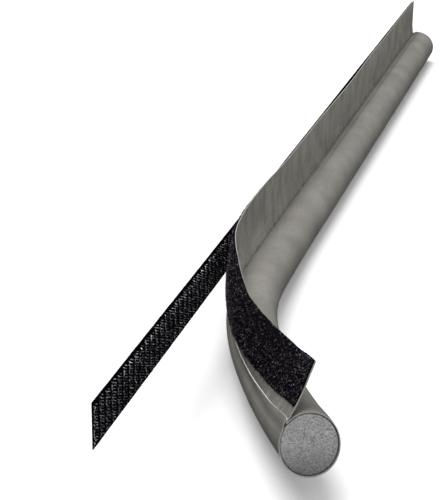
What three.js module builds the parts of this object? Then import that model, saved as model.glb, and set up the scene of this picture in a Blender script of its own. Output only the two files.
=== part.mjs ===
// Draught excluder: a foam rod in a coated-cloth cover, whose standing flap is held by hook-and-loop
// tape. The far part of the flap is pressed on to the hook tape, and its near end is peeled off.
// Millimetres. +X points out of the hook tape's flat back, +Y runs along the tape away from the
// peeled end, and +Z points up. The origin is the middle of that flat back.

import * as THREE from 'three';

const GAP = 0.3;              // clearance between neighbouring pieces

const TAPE_WIDTH = 25;
const TAPE_THICKNESS = 1.2;   // either half of the hook-and-loop tape
const HOOK_LENGTH = 940;
const SELVAGE_THICKNESS = 0.6;
const SELVAGE_TOP = 2;        // plain woven edge above the hooks
const SELVAGE_BOTTOM = 1;     // and below them

const ROLL_RADIUS = 15.1;
const CLOTH = 1;              // thickness of the cover's cloth
const CUT_LENGTH = 919;       // the cover and its rod, along the roll
const FLAP_HEIGHT = 33.6;     // from the crease to the flap's top edge
const LAP_HEIGHT = 2.4;       // the cloth's other edge, lapped on the foot of the flap
const LAP_TURN = 14;          // degrees round the roll from the crease to the lap's weld line
const LOOP_SETBACK = 1.5;     // the loop tape stops short of the cover's cut ends
const ROLL_DROP = 33.1;       // the roll's middle hangs this far below the origin

// The peeled end, a row every PEEL_STEP mm from the near end. heading is how far the roll has swung
// out from the hook tape's line, and lift how far it has sprung up, in mm. attach is where on the
// roll the flap leaves it. baseLean and topLean are the flap's slope at its foot and at its top
// edge. All but lift are degrees, and 90 stands straight up.
const PEEL_STEP = 40;
const PEEL = [
  { heading: 22, lift: 20.5, attach: 139, baseLean: 54, topLean: 69 },
  { heading: 26.9, lift: 11.5, attach: 143, baseLean: 75, topLean: 46 },
  { heading: 26.5, lift: 8.2, attach: 144, baseLean: 103, topLean: 39 },
  { heading: 23, lift: 7.6, attach: 142, baseLean: 119, topLean: 43 },
  { heading: 17.2, lift: 7.6, attach: 137, baseLean: 117, topLean: 54 },
  { heading: 8.8, lift: 7.2, attach: 130, baseLean: 111, topLean: 76 },
  { heading: 3.6, lift: 4.7, attach: 125, baseLean: 98, topLean: 90 },
  { heading: 2.5, lift: 2.1, attach: 124, baseLean: 93, topLean: 91 },
  { heading: 1, lift: 0.4, attach: 124, baseLean: 90, topLean: 90.5 },
  { heading: 0, lift: 0, attach: 124, baseLean: 89, topLean: 91 },
];

// Where the pressed-on flap stands a little off the tape at its top edge.
const BULGES = [
  { fromEnd: 575, reach: 130, lean: 5 },
  { fromEnd: 745, reach: 80, lean: 2 },
];

const STRAIGHT_SPANS = 16;
const PEEL_SPANS = 30;
const ROUND_FACETS = 24;
const FOOT_HEIGHTS = [2, 5.4]; // steps up the flap below the loop tape
const TAPE_FACETS = 5;
const CLIMB_STEP = 1;         // the roll's climb is measured over this much of it
const NEARLY_STRAIGHT = 1e-6; // a flap that bends less than this, in radians a mm, has no arc

const peelLength = PEEL_STEP * (PEEL.length - 1);
const flapOut = 2 * TAPE_THICKNESS + 2 * GAP + CLOTH;
const attachFar = THREE.MathUtils.degToRad(PEEL.at(-1).attach);
const rollOut = flapOut - ROLL_RADIUS * Math.cos(attachFar);

// Monotone cubic through one column of the peel table, level beyond its last row.
function slope(values, i) {
  const before = values[i] - values[Math.max(i - 1, 0)];
  const after = values[Math.min(i + 1, values.length - 1)] - values[i];
  if (i === 0) return after;
  return before * after <= 0 ? 0 : (2 * before * after) / (before + after);
}

function peel(column, fromEnd) {
  const values = PEEL.map((row) => row[column]);
  const place = Math.min(fromEnd / PEEL_STEP, values.length - 1);
  const i = Math.min(Math.floor(place), values.length - 2);
  const t = place - i;
  const curve = (3 - 2 * t) * t * t;
  const start = t * (1 - t) * (1 - t) * slope(values, i);
  const end = t * t * (t - 1) * slope(values, i + 1);
  return THREE.MathUtils.lerp(values[i], values[i + 1], curve) + start + end;
}

function bulge(fromEnd) {
  const lean = BULGES.map((row) => {
    const away = Math.min(Math.abs(fromEnd - row.fromEnd) / row.reach, 1);
    return row.lean * Math.cos((away * Math.PI) / 2) ** 2;
  });
  return lean.reduce((sum, value) => sum + value, 0);
}

// Stations along the roll from the far end to the near one. Each has the roll's middle and the two
// directions of its section: across, away from the hook tape, and up.
function stations(first, last) {
  const marks = [];
  const straight = CUT_LENGTH - peelLength;
  for (let i = 0; i < STRAIGHT_SPANS; i += 1) {
    marks.push(CUT_LENGTH - (straight * i) / STRAIGHT_SPANS);
  }
  for (let i = 0; i <= PEEL_SPANS; i += 1) {
    marks.push(peelLength * (1 - i / PEEL_SPANS));
  }
  marks[0] = CUT_LENGTH - first;
  marks[marks.length - 1] = last;

  let out = rollOut;
  let along = HOOK_LENGTH / 2 - first;
  let previous = marks[0];
  return marks.map((fromEnd) => {
    const middle = THREE.MathUtils.degToRad(peel('heading', (fromEnd + previous) / 2));
    out += Math.sin(middle) * (previous - fromEnd);
    along -= Math.cos(middle) * (previous - fromEnd);
    previous = fromEnd;

    const heading = THREE.MathUtils.degToRad(peel('heading', fromEnd));
    const nearer = Math.max(fromEnd - CLIMB_STEP, 0);
    const farther = fromEnd + CLIMB_STEP;
    const climb = (peel('lift', nearer) - peel('lift', farther)) / (farther - nearer);
    const forward = new THREE.Vector3(Math.sin(heading), -Math.cos(heading), climb).normalize();
    const across = new THREE.Vector3(Math.cos(heading), Math.sin(heading), 0);
    return {
      fromEnd,
      middle: new THREE.Vector3(out, along, peel('lift', fromEnd) - ROLL_DROP),
      across,
      up: new THREE.Vector3().crossVectors(forward, across),
    };
  });
}

function round(radius, startDegrees, turnDegrees, facets) {
  const points = [];
  for (let i = 0; i <= facets; i += 1) {
    const angle = THREE.MathUtils.degToRad(startDegrees + (turnDegrees * i) / facets);
    points.push(new THREE.Vector2(radius * Math.cos(angle), radius * Math.sin(angle)));
  }
  return points;
}

// The flap's front face in section, at one height above the crease, and the direction that points
// from it through the cloth to the side that the loop tape is on.
function flapAt(fromEnd, height) {
  const attach = THREE.MathUtils.degToRad(peel('attach', fromEnd));
  const base = THREE.MathUtils.degToRad(peel('baseLean', fromEnd));
  const top = THREE.MathUtils.degToRad(peel('topLean', fromEnd) - bulge(fromEnd));
  const bend = (top - base) / FLAP_HEIGHT;
  const lean = base + bend * height;
  const point = new THREE.Vector2(Math.cos(attach), Math.sin(attach)).multiplyScalar(ROLL_RADIUS);
  if (Math.abs(bend) < NEARLY_STRAIGHT) {
    point.x += Math.cos(base) * height;
    point.y += Math.sin(base) * height;
  } else {
    point.x += (Math.sin(lean) - Math.sin(base)) / bend;
    point.y += (Math.cos(base) - Math.cos(lean)) / bend;
  }
  return { point, backward: new THREE.Vector2(-Math.sin(lean), Math.cos(lean)) };
}

function offFlap(fromEnd, height, offset) {
  const { point, backward } = flapAt(fromEnd, height);
  return point.addScaledVector(backward, offset);
}

// The loop tape and the flap behind it have the same steps, so that they stay the same gap apart.
function tapeHeights() {
  const heights = [];
  for (let i = 0; i <= TAPE_FACETS; i += 1) {
    heights.push(FLAP_HEIGHT - TAPE_WIDTH + (TAPE_WIDTH * i) / TAPE_FACETS);
  }
  return heights;
}

// One sheet in section: round the roll from the weld line to the crease, up the flap's front, over
// its top edge, down its back, and over the lap to the weld line again.
function coverOutline(fromEnd) {
  const weld = peel('attach', fromEnd) + LAP_TURN;
  const wrap = round(ROLL_RADIUS, weld, 360 - LAP_TURN, ROUND_FACETS);
  const heights = [...FOOT_HEIGHTS, ...tapeHeights()];
  const front = heights.map((height) => offFlap(fromEnd, height, 0));
  const aboveLap = heights.filter((height) => height > LAP_HEIGHT + CLOTH);
  const back = aboveLap.reverse().map((height) => offFlap(fromEnd, height, CLOTH));
  const lap = [
    offFlap(fromEnd, LAP_HEIGHT, CLOTH),
    offFlap(fromEnd, LAP_HEIGHT, 2 * CLOTH),
    offFlap(fromEnd, 0, 2 * CLOTH),
  ];
  return [...wrap, ...front, ...back, ...lap];
}

function ring(radius) {
  return (fromEnd) => {
    const weld = peel('attach', fromEnd) + LAP_TURN;
    return round(radius, weld, 360, ROUND_FACETS).slice(0, -1);
  };
}

function loopOutline(fromEnd) {
  const heights = tapeHeights();
  const inner = heights.map((height) => offFlap(fromEnd, height, CLOTH + GAP));
  const outer = heights.map((height) => offFlap(fromEnd, height, CLOTH + GAP + TAPE_THICKNESS));
  return [...inner, ...outer.reverse()];
}

function hookOutline() {
  const top = TAPE_WIDTH / 2;
  const profile = [
    [0, -top],
    [SELVAGE_THICKNESS, -top],
    [SELVAGE_THICKNESS, SELVAGE_BOTTOM - top],
    [TAPE_THICKNESS, SELVAGE_BOTTOM - top],
    [TAPE_THICKNESS, top - SELVAGE_TOP],
    [SELVAGE_THICKNESS, top - SELVAGE_TOP],
    [SELVAGE_THICKNESS, top],
    [0, top],
  ];
  return profile.map(([out, up]) => new THREE.Vector2(out, up));
}

// Joins one outline to the next along the stations, with an optional bore right through, and closes
// both ends. Outlines run counter-clockwise as seen from the near end. Each four-cornered facet is
// split from its lower corner to its upper one at the next station, whichever way its outline runs,
// so that two faces that lie along one another keep the same distance where they twist.
function loft(frames, outlineAt, boreAt = () => []) {
  const positions = [];
  const index = [];
  const outlines = frames.map((frame) => outlineAt(frame.fromEnd));
  const bores = frames.map((frame) => boreAt(frame.fromEnd));
  const rim = outlines[0].length;
  const sections = frames.map((frame, i) => [...outlines[i], ...bores[i]]);
  const count = sections[0].length;

  frames.forEach((frame, i) => {
    for (const point of sections[i]) {
      const place = frame.middle.clone();
      place.addScaledVector(frame.across, point.x).addScaledVector(frame.up, point.y);
      positions.push(place.x, place.y, place.z);
    }
  });

  const band = (start, length, inward) => {
    for (let i = 0; i + 1 < frames.length; i += 1) {
      for (let j = 0; j < length; j += 1) {
        const here = start + j;
        const next = start + ((j + 1) % length);
        const [a, b] = [i * count + here, i * count + next];
        const [c, d] = [a + count, b + count];
        const rises = sections[i][next].y > sections[i][here].y;
        const facet = rises ? [a, b, d, a, d, c] : [a, b, c, b, d, c];
        index.push(...(inward ? facet.reverse() : facet));
      }
    }
  };
  band(0, rim, false);
  if (count > rim) band(rim, count - rim, true);

  const cap = (i, facesNear) => {
    const holes = count > rim ? [bores[i]] : [];
    const flat = sections[i];
    for (const [a, b, c] of THREE.ShapeUtils.triangulateShape(outlines[i], holes)) {
      const area = THREE.ShapeUtils.area([flat[a], flat[b], flat[c]]);
      const corners = area > 0 === facesNear ? [a, b, c] : [a, c, b];
      index.push(...corners.map((corner) => corner + i * count));
    }
  };
  cap(0, false);
  cap(frames.length - 1, true);

  const geometry = new THREE.BufferGeometry();
  geometry.setAttribute('position', new THREE.Float32BufferAttribute(positions, 3));
  geometry.setIndex(index);
  geometry.computeVertexNormals();
  return geometry;
}

function piece(name, geometry, material) {
  const mesh = new THREE.Mesh(geometry, new THREE.MeshStandardMaterial(material));
  mesh.name = name;
  return mesh;
}

const wholeRoll = stations(0, 0);
const loopRun = stations(LOOP_SETBACK, LOOP_SETBACK);
const hookRun = [HOOK_LENGTH / 2, -HOOK_LENGTH / 2].map((along) => ({
  middle: new THREE.Vector3(0, along, 0),
  across: new THREE.Vector3(1, 0, 0),
  up: new THREE.Vector3(0, 0, 1),
}));

const cover = piece(
  'cover',
  loft(wholeRoll, coverOutline, ring(ROLL_RADIUS - CLOTH)),
  { color: 0x7a7872, roughness: 0.6, metalness: 0 },
);
const foamCore = piece(
  'foam_core',
  loft(wholeRoll, ring(ROLL_RADIUS - CLOTH - GAP)),
  { color: 0x98989a, roughness: 0.95, metalness: 0 },
);
const loopTape = piece(
  'loop_tape',
  loft(loopRun, loopOutline),
  { color: 0x131215, roughness: 0.9, metalness: 0 },
);
const hookTape = piece(
  'hook_tape',
  loft(hookRun, hookOutline),
  { color: 0x101013, roughness: 0.5, metalness: 0 },
);

const excluder = new THREE.Group();
excluder.add(cover, foamCore, loopTape, hookTape);

export default excluder;
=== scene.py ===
# %% [markdown]
# # A draught excluder with its near end peeled off
# A round foam rod lies in one piece of coated cloth. The cloth goes once round the rod and is bonded
# to itself along a fin. One edge of it is cut short there, and the other stands up as a flap, with
# the loop half of a hook-and-loop tape along its back. The hook half is a straight strip, and the
# far part of the flap is pressed on to it. Every piece but the rod is cut flat, so each is made flat
# and straight first, with a modelling operator, and is then bent on to the line in which the
# excluder lies. The frame gives the solids that these pieces stand for.

# %% Load the frame
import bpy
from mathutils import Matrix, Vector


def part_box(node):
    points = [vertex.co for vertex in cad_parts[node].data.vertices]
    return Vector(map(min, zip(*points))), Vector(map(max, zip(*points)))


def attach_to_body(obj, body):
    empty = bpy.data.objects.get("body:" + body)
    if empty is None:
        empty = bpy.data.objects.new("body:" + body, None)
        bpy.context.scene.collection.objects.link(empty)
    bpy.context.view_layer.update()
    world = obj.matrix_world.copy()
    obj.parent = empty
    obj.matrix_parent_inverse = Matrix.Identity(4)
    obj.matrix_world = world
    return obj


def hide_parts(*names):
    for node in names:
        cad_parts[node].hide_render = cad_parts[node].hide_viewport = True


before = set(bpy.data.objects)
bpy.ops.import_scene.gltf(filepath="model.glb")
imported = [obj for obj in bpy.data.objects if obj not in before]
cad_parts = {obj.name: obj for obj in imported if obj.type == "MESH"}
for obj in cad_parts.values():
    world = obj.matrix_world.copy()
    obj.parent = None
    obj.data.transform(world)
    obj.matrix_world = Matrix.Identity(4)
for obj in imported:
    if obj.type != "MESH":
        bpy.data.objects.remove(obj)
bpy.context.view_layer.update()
print("frame", sorted(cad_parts))

# %% Tools
import functools
import math
import random
from collections import namedtuple

import bmesh
import bpy
from mathutils import Matrix, Vector, noise

MM = 0.001
ROOT = "root"


def share_of(value, start, reach):
    """How far the value is past start, as a share of reach, from 0 to 1."""
    return min(max((value - start) / reach, 0), 1)


def hump(away, reach):
    """1 in the middle of a smooth hump, and 0 from reach away on either side."""
    return math.cos(min(abs(away) / reach, 1) * math.pi / 2) ** 2


def lumps(*where):
    """Smooth noise, from about -1 to 1, at a place counted in sizes of its lumps."""
    return noise.noise(Vector(where))


def rounded(values):
    """Values short enough for the printed notes."""
    return [round(value, 4) for value in values]


# %% [markdown]
# ## Sizes
# The frame's solids give the tape's length and width, and the rest are the sizes that the excluder
# was cut to. The cloth is a little thinner here than in its solid, because a cut edge of coated
# cloth catches the light as a fine line, and a thick one looks like board. Lengths are in metres,
# and a turn round the roll is in degrees.

# %% Sizes
TAPE_LOW, TAPE_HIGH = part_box("hook_tape")
TAPE_WIDTH = TAPE_HIGH.z - TAPE_LOW.z
TAPE_THICKNESS = TAPE_HIGH.x - TAPE_LOW.x
FAR_END = TAPE_HIGH.y
NEAR_END = TAPE_LOW.y
GAP = 0.3 * MM
SOLID_CLOTH = 1 * MM
CLOTH = 0.6 * MM
ROLL_RADIUS = 15.1 * MM
CUT_LENGTH = 919 * MM
FLAP_HEIGHT = 33.6 * MM
LAP_HEIGHT = 2.4 * MM
LAP_TURN = 14
LOOP_SETBACK = 0.5 * MM
ROLL_DROP = 33.1 * MM
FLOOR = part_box("cover")[0].z
print("tape", round(TAPE_WIDTH / MM, 2), "mm wide, from", round(NEAR_END, 3), "to", round(FAR_END, 3))

# %% [markdown]
# ## The line of the roll
# The peeled end curves out and up like a sprung strip. A short table says how far it has swung out,
# how far it has lifted, and how the flap leans, every 40 mm from the near end. A smooth curve
# through each column gives the values between, and adding up small steps along the heading gives
# the roll's middle.

# %% The peeled end
PEEL_STEP = 40 * MM
PeelRow = namedtuple("PeelRow", "heading lift attach base_lean top_lean")
PEEL = [
    PeelRow(heading=22, lift=20.5, attach=139, base_lean=54, top_lean=69),
    PeelRow(heading=26.9, lift=11.5, attach=143, base_lean=75, top_lean=46),
    PeelRow(heading=26.5, lift=8.2, attach=144, base_lean=103, top_lean=39),
    PeelRow(heading=23, lift=7.6, attach=142, base_lean=119, top_lean=43),
    PeelRow(heading=17.2, lift=7.6, attach=137, base_lean=117, top_lean=54),
    PeelRow(heading=8.8, lift=7.2, attach=130, base_lean=111, top_lean=76),
    PeelRow(heading=3.6, lift=4.7, attach=125, base_lean=98, top_lean=90),
    PeelRow(heading=2.5, lift=2.1, attach=124, base_lean=93, top_lean=91),
    PeelRow(heading=1, lift=0.4, attach=124, base_lean=90, top_lean=90.5),
    PeelRow(heading=0, lift=0, attach=124, base_lean=89, top_lean=91),
]
Bulge = namedtuple("Bulge", "from_end reach lean")
BULGES = [
    Bulge(from_end=572 * MM, reach=130 * MM, lean=4.2),
    Bulge(from_end=745 * MM, reach=80 * MM, lean=2),
]


def slope(values, i):
    """The curve's slope at one row of a column, level where the column turns back."""
    before = values[i] - values[max(i - 1, 0)]
    after = values[min(i + 1, len(values) - 1)] - values[i]
    if i == 0:
        return after
    return 0 if before * after <= 0 else 2 * before * after / (before + after)


@functools.lru_cache(maxsize=65536)
def peel(column, from_end):
    """Monotone cubic through one column of the peel table, level beyond its ends."""
    values = [getattr(row, column) for row in PEEL]
    place = min(max(from_end / PEEL_STEP, 0), len(values) - 1)
    i = min(int(place), len(values) - 2)
    t = place - i
    curve = (3 - 2 * t) * t * t
    start = t * (1 - t) ** 2 * slope(values, i)
    end = t * t * (t - 1) * slope(values, i + 1)
    return values[i] + (values[i + 1] - values[i]) * curve + start + end


def bulge(from_end):
    """How far the pressed-on flap leans off the tape, in degrees."""
    return sum(row.lean * hump(from_end - row.from_end, row.reach) for row in BULGES)


# %% The roll's middle and its section
LINE_STEP = 1 * MM
SAG_LENGTH = 95 * MM
SAG_TALLER = 0.09
SAG_DOWN = 0.7 * MM
SAG_OUT = 1.5 * MM
SAG_OUT_LENGTH = 190 * MM
FLAP_OUT = 2 * TAPE_THICKNESS + 2 * GAP + SOLID_CLOTH
ROLL_OUT = FLAP_OUT - ROLL_RADIUS * math.cos(math.radians(PEEL[-1].attach))


def roll_middles():
    """The roll's middle at every LINE_STEP, from the near end to the far one."""
    out = ROLL_OUT
    along = FAR_END
    steps = round(CUT_LENGTH / LINE_STEP)
    middles = [Vector((out, along, -ROLL_DROP))]
    for i in reversed(range(steps)):
        heading = math.radians(peel("heading", (i + 0.5) * LINE_STEP))
        out += math.sin(heading) * LINE_STEP
        along -= math.cos(heading) * LINE_STEP
        middles.append(Vector((out, along, peel("lift", i * LINE_STEP) * MM - ROLL_DROP)))
    return middles[::-1]


MIDDLES = roll_middles()


@functools.lru_cache(maxsize=4096)
def section(from_end):
    """The roll's middle and the two directions of its section: across and up."""
    place = min(max(from_end / LINE_STEP, 0), len(MIDDLES) - 1)
    i = min(int(place), len(MIDDLES) - 2)
    middle = MIDDLES[i].lerp(MIDDLES[i + 1], place - i)
    heading = math.radians(peel("heading", from_end))
    nearer = max(from_end - LINE_STEP, 0)
    farther = from_end + LINE_STEP
    climb = (peel("lift", nearer) - peel("lift", farther)) * MM / (farther - nearer)
    forward = Vector((math.sin(heading), -math.cos(heading), climb)).normalized()
    across = Vector((math.cos(heading), math.sin(heading), 0))
    return middle, across, forward.cross(across)


def sagged(from_end, point):
    """The section's point where the roll's free end has sagged into an oval."""
    share = max(0, 1 - from_end / SAG_LENGTH) ** 2
    swung = hump(from_end, SAG_OUT_LENGTH)
    foot = 1 - share_of(point.y, ROLL_RADIUS, FLAP_HEIGHT / 2)
    down = SAG_TALLER * min(point.y, ROLL_RADIUS) - SAG_DOWN
    return point + Vector((SAG_OUT * foot * swung, down * share))


def place(from_end, point):
    """A point of the roll's section, from_end along the roll, as a point of the frame."""
    middle, across, up = section(from_end)
    shaped = sagged(from_end, point)
    return middle + across * shaped.x + up * shaped.y


def off_flap(from_end, height, offset):
    """In section, a point at one height up the flap, offset behind its front face."""
    attach = math.radians(peel("attach", from_end))
    base = math.radians(peel("base_lean", from_end))
    top = math.radians(peel("top_lean", from_end) - bulge(from_end))
    bend = (top - base) / FLAP_HEIGHT
    lean = base + bend * height
    point = Vector((math.cos(attach), math.sin(attach))) * ROLL_RADIUS
    if abs(bend * FLAP_HEIGHT) < 1e-4:
        point += Vector((math.cos(base), math.sin(base))) * height
    else:
        point.x += (math.sin(lean) - math.sin(base)) / bend
        point.y += (math.cos(base) - math.cos(lean)) / bend
    return point + Vector((-math.sin(lean), math.cos(lean))) * offset


print("roll: near end at", rounded(MIDDLES[0]), "far end at", rounded(MIDDLES[-1]))

# %% [markdown]
# ## Camera
# The camera stands low beyond the near end and looks along the excluder, so that the peeled end is
# large and the rest runs away from it. It comes first, because every later choice of detail depends
# on what it sees. A long lens keeps the roll's taper gentle.

# %% Camera
CAMERA_PLACE = Vector((0.21367, -1.00625, 0.32156))
CAMERA_YAW = math.radians(15.753)
CAMERA_PITCH = math.radians(21.976)
CAMERA_ROLL = math.radians(0.930)
LENS = 100.8

camera_data = bpy.data.cameras.new("camera")
camera_data.lens = LENS
camera_data.clip_start = 0.05
camera_data.clip_end = 50
camera = bpy.data.objects.new("camera", camera_data)
bpy.context.scene.collection.objects.link(camera)
looking = Matrix.Rotation(CAMERA_YAW, 4, "Z") @ Matrix.Rotation(math.pi / 2 - CAMERA_PITCH, 4, "X")
turned = looking @ Matrix.Rotation(CAMERA_ROLL, 4, "Z")
camera.matrix_world = Matrix.Translation(CAMERA_PLACE) @ turned
bpy.context.scene.camera = camera
print("camera at", rounded(CAMERA_PLACE), "lens", LENS)

# %% [markdown]
# ## Nodes by name
# A procedural material is a small graph. One helper adds a node and fills its sockets, from numbers
# or from other nodes' outputs, so that each finish below reads as a list of what it is made of.

# %% Material helpers


def add_node(tree, kind, inputs=None, **settings):
    """A node with its settings, and its inputs given by name or number."""
    made = tree.nodes.new(kind)
    for key, value in settings.items():
        setattr(made, key, value)
    for key, value in (inputs or {}).items():
        if isinstance(value, bpy.types.NodeSocket):
            tree.links.new(value, made.inputs[key])
        else:
            made.inputs[key].default_value = value
    return made


def add(tree, kind, inputs=None, **settings):
    """A shader node."""
    return add_node(tree, "ShaderNode" + kind, inputs, **settings)


def maths(tree, operation, a, b=0.0, clamp=False):
    """One sum with two values."""
    return add(tree, "Math", {0: a, 1: b}, operation=operation, use_clamp=clamp).outputs[0]


def times_plus(tree, value, factor, more):
    """The value times the factor, plus more."""
    return add(tree, "Math", {0: value, 1: factor, 2: more}, operation="MULTIPLY_ADD").outputs[0]


def weighed(tree, *parts):
    """The sum of (value, weight) parts."""
    total = 0.0
    for value, weight in parts:
        total = times_plus(tree, value, weight, total)
    return total


def part_of(tree, vector, axis):
    """One of a vector's three values."""
    return add(tree, "SeparateXYZ", {"Vector": vector}).outputs[axis]


def new_material(name, roughness, **sockets):
    """A material, its tree and its shader, with the values that are the same all over it."""
    made = bpy.data.materials.new(name)
    made.use_nodes = True
    shader = made.node_tree.nodes["Principled BSDF"]
    shader.inputs["Roughness"].default_value = roughness
    for key, value in sockets.items():
        shader.inputs[key.replace("_", " ")].default_value = value
    return made, made.node_tree, shader


def grain(tree, vector, size, detail=2.0, roughness=0.5):
    """Noise whose lumps are about size across, in metres."""
    inputs = {"Vector": vector, "Scale": 1 / size, "Detail": detail, "Roughness": roughness}
    return add(tree, "TexNoise", inputs).outputs["Fac"]


def ramp(tree, value, *stops):
    """A colour ramp through (place, (r, g, b)) stops."""
    made = add(tree, "ValToRGB", {"Fac": value})
    elements = made.color_ramp.elements
    while len(elements) < len(stops):
        elements.new(1)
    for element, (where, colour) in zip(elements, stops):
        element.position = where
        element.color = (*colour, 1)
    return made.outputs["Color"]


def bump(tree, height, distance, normal=None):
    """Relief that only the light sees, over another such relief if there is one."""
    inputs = {"Height": height, "Distance": distance, "Strength": 1.0}
    if normal:
        inputs["Normal"] = normal
    return add(tree, "Bump", inputs).outputs["Normal"]


def connect(tree, shader, colour, normal=None):
    """Gives the shader its colour, and its relief if there is one."""
    tree.links.new(colour, shader.inputs["Base Color"])
    if normal:
        tree.links.new(normal, shader.inputs["Normal"])


# %% [markdown]
# ## From a bmesh to a piece
# Each bmesh becomes an object at the origin with its place in its mesh. A modifier such as Solidify
# is applied at once, so that its sharp edges can be marked afterwards: where two faces meet at a
# steep angle the shading breaks, and everywhere else it runs on smoothly.

# %% Piece helpers
SHARP = math.radians(48)


def new_piece(name, bm, *materials):
    """An object at the origin with the bmesh as its mesh."""
    mesh = bpy.data.meshes.new(name)
    bm.to_mesh(mesh)
    bm.free()
    made = bpy.data.objects.new(name, mesh)
    bpy.context.scene.collection.objects.link(made)
    for material in materials:
        mesh.materials.append(material)
    return made


def apply_modifiers(piece):
    """The piece's mesh as its modifiers leave it, with no modifier left."""
    graph = bpy.context.evaluated_depsgraph_get()
    mesh = bpy.data.meshes.new_from_object(piece.evaluated_get(graph))
    piece.modifiers.clear()
    piece.data = mesh
    mesh.name = piece.name


def mark_sharp(piece, angle=SHARP):
    """Smooth shading that breaks at open edges and where faces meet at more than the angle."""
    bm = bmesh.new()
    bm.from_mesh(piece.data)
    for face in bm.faces:
        face.smooth = True
    for edge in bm.edges:
        edge.smooth = len(edge.link_faces) == 2 and edge.calc_face_angle(0) < angle
    bm.to_mesh(piece.data)
    bm.free()


def thicken(piece, thickness, back=0, rim=0):
    """Solidify inwards from the faces, with its own material slots for the back and the rim."""
    solidify = piece.modifiers.new("thickness", "SOLIDIFY")
    solidify.thickness = thickness
    solidify.offset = -1
    solidify.use_quality_normals = True
    solidify.material_offset = back
    solidify.material_offset_rim = rim
    apply_modifiers(piece)
    mark_sharp(piece)


def all_smooth(mesh, material):
    """One material and smooth shading all over a mesh."""
    mesh.materials.clear()
    mesh.materials.append(material)
    for polygon in mesh.polygons:
        polygon.material_index = 0
        polygon.use_smooth = True


def triangles(piece):
    """How many triangles a piece has."""
    piece.data.calc_loop_triangles()
    return len(piece.data.loop_triangles)


def counts(pieces):
    """Each piece's name and how many triangles it has, for the printed notes."""
    return [(piece.name, triangles(piece)) for piece in pieces]


# %% [markdown]
# ## The cover
# The cover is one sheet, so it is one grid, bent across into the fin, the roll and the flap, and
# along on to the excluder's line. A list of stops across the sheet says where each column of the
# grid goes: down the short lap, round its root, all round the rod, and up the flap. The stops are
# closer together at the crease, where the sheet turns back on itself.

# %% The cover's stops
Stop = namedtuple("Stop", "part value")


def stops(part, start, end, count):
    """Evenly spaced stops after start, up to and with end."""
    return [Stop(part, start + (end - start) * (i + 1) / count) for i in range(count)]


CREASE_ZONE = 32
CREASE_PINCH = 0.2 * MM
FOOT_ZONE = 4 * MM
ACROSS = [
    Stop("lap", LAP_HEIGHT),
    *stops("lap", LAP_HEIGHT, 0, 3),
    *stops("root", 0, 1, 3),
    *stops("wrap", LAP_TURN, 360 - CREASE_ZONE, 50),
    *stops("wrap", 360 - CREASE_ZONE, 360, 16),
    *stops("flap", 0, FOOT_ZONE, 6),
    *stops("flap", FOOT_ZONE, FLAP_HEIGHT, 19),
]
CREASE = next(i for i, stop in enumerate(ACROSS) if stop.part == "flap") - 1
print("cover:", len(ACROSS), "stops across, the crease at stop", CREASE)

# %% [markdown]
# The far part of the flap is pressed on to the hooks. The grip draws it back towards the hook tape,
# and its hem stands a little taller there, most of all where the grip begins, because the peeled
# part pulls it up. The grip could start at one station, but the top edge would then show a kink, so
# it takes hold slowly, with a smooth start and a smooth end.

# %% The grip
GRIP_FROM = 210 * MM
GRIP_FADE = 95 * MM
GRIP_IN = 1.2 * MM
HEM_RISE = 1.2 * MM
HEM_SWELL = 0.8
HEM_SWELL_AT = 314 * MM
HEM_SWELL_REACH = 26 * MM


def gripped(from_end):
    """0 where the flap is peeled off, 1 where it is pressed on to the hooks."""
    share = share_of(from_end, GRIP_FROM, GRIP_FADE)
    return (3 - 2 * share) * share * share


def hem_rise(from_end):
    """How much taller the gripped flap stands, most of all where the grip begins, in metres."""
    away = (from_end - HEM_SWELL_AT) / HEM_SWELL_REACH
    return HEM_RISE * gripped(from_end) * (1 + HEM_SWELL * math.exp(-(away**2)))


def pressed_in(from_end, height):
    """How far the grip holds the flap back towards the hooks, in metres."""
    swung_out = section(from_end)[0].x - ROLL_OUT
    up_to_tape = min(height / (FLAP_HEIGHT - TAPE_WIDTH), 1)
    return (GRIP_IN + swung_out) * gripped(from_end) * up_to_tape


print("grip whole from", round((GRIP_FROM + GRIP_FADE) / MM), "mm on")

# %% The sheet in section
LAP_OUT = 2 * CLOTH + 0.05 * MM


def on_roll(angle):
    """In section, the point of the roll's outer face at an angle in radians."""
    return Vector((math.cos(angle), math.sin(angle))) * ROLL_RADIUS


def root_point(from_end, t):
    """In section, the lap's turn from its foot into the roll, at t from 0 to 1."""
    foot = off_flap(from_end, 0, LAP_OUT)
    lean = math.radians(peel("base_lean", from_end))
    weld = math.radians(peel("attach", from_end) + LAP_TURN)
    end = on_roll(weld)
    reach = (end - foot).length
    leaving = Vector((-math.cos(lean), -math.sin(lean))) * reach
    arriving = Vector((-math.sin(weld), math.cos(weld))) * reach
    start_share = (1 + 2 * t) * (1 - t) ** 2
    return (
        foot * start_share
        + leaving * t * (1 - t) ** 2
        + end * (1 - start_share)
        + arriving * t * t * (t - 1)
    )


def sheet_point(stop, from_end):
    """In section, the sheet's outer face at one stop."""
    if stop.part == "lap":
        return off_flap(from_end, stop.value, LAP_OUT)
    if stop.part == "root":
        return root_point(from_end, stop.value)
    if stop.part == "wrap":
        return on_roll(math.radians(peel("attach", from_end) + stop.value))
    height = stop.value * (1 + hem_rise(from_end) / FLAP_HEIGHT)
    return off_flap(from_end, height, pressed_in(from_end, height))


def flat_places():
    """How far each stop is from the lap's cut edge in the flat sheet, in metres."""
    points = [sheet_point(stop, CUT_LENGTH) for stop in ACROSS]
    places = [0.0]
    for before, after in zip(points, points[1:]):
        places.append(places[-1] + (after - before).length)
    return places


FLAT = flat_places()
CUT_WIDTH = FLAT[-1]
CREASE_U = FLAT[CREASE]
WELD_U = FLAT[next(i for i, stop in enumerate(ACROSS) if stop.part == "wrap")]
print("flat cover", round(CUT_WIDTH / MM, 1), "mm wide, crease at", round(CREASE_U / MM, 1), "mm")

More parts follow.
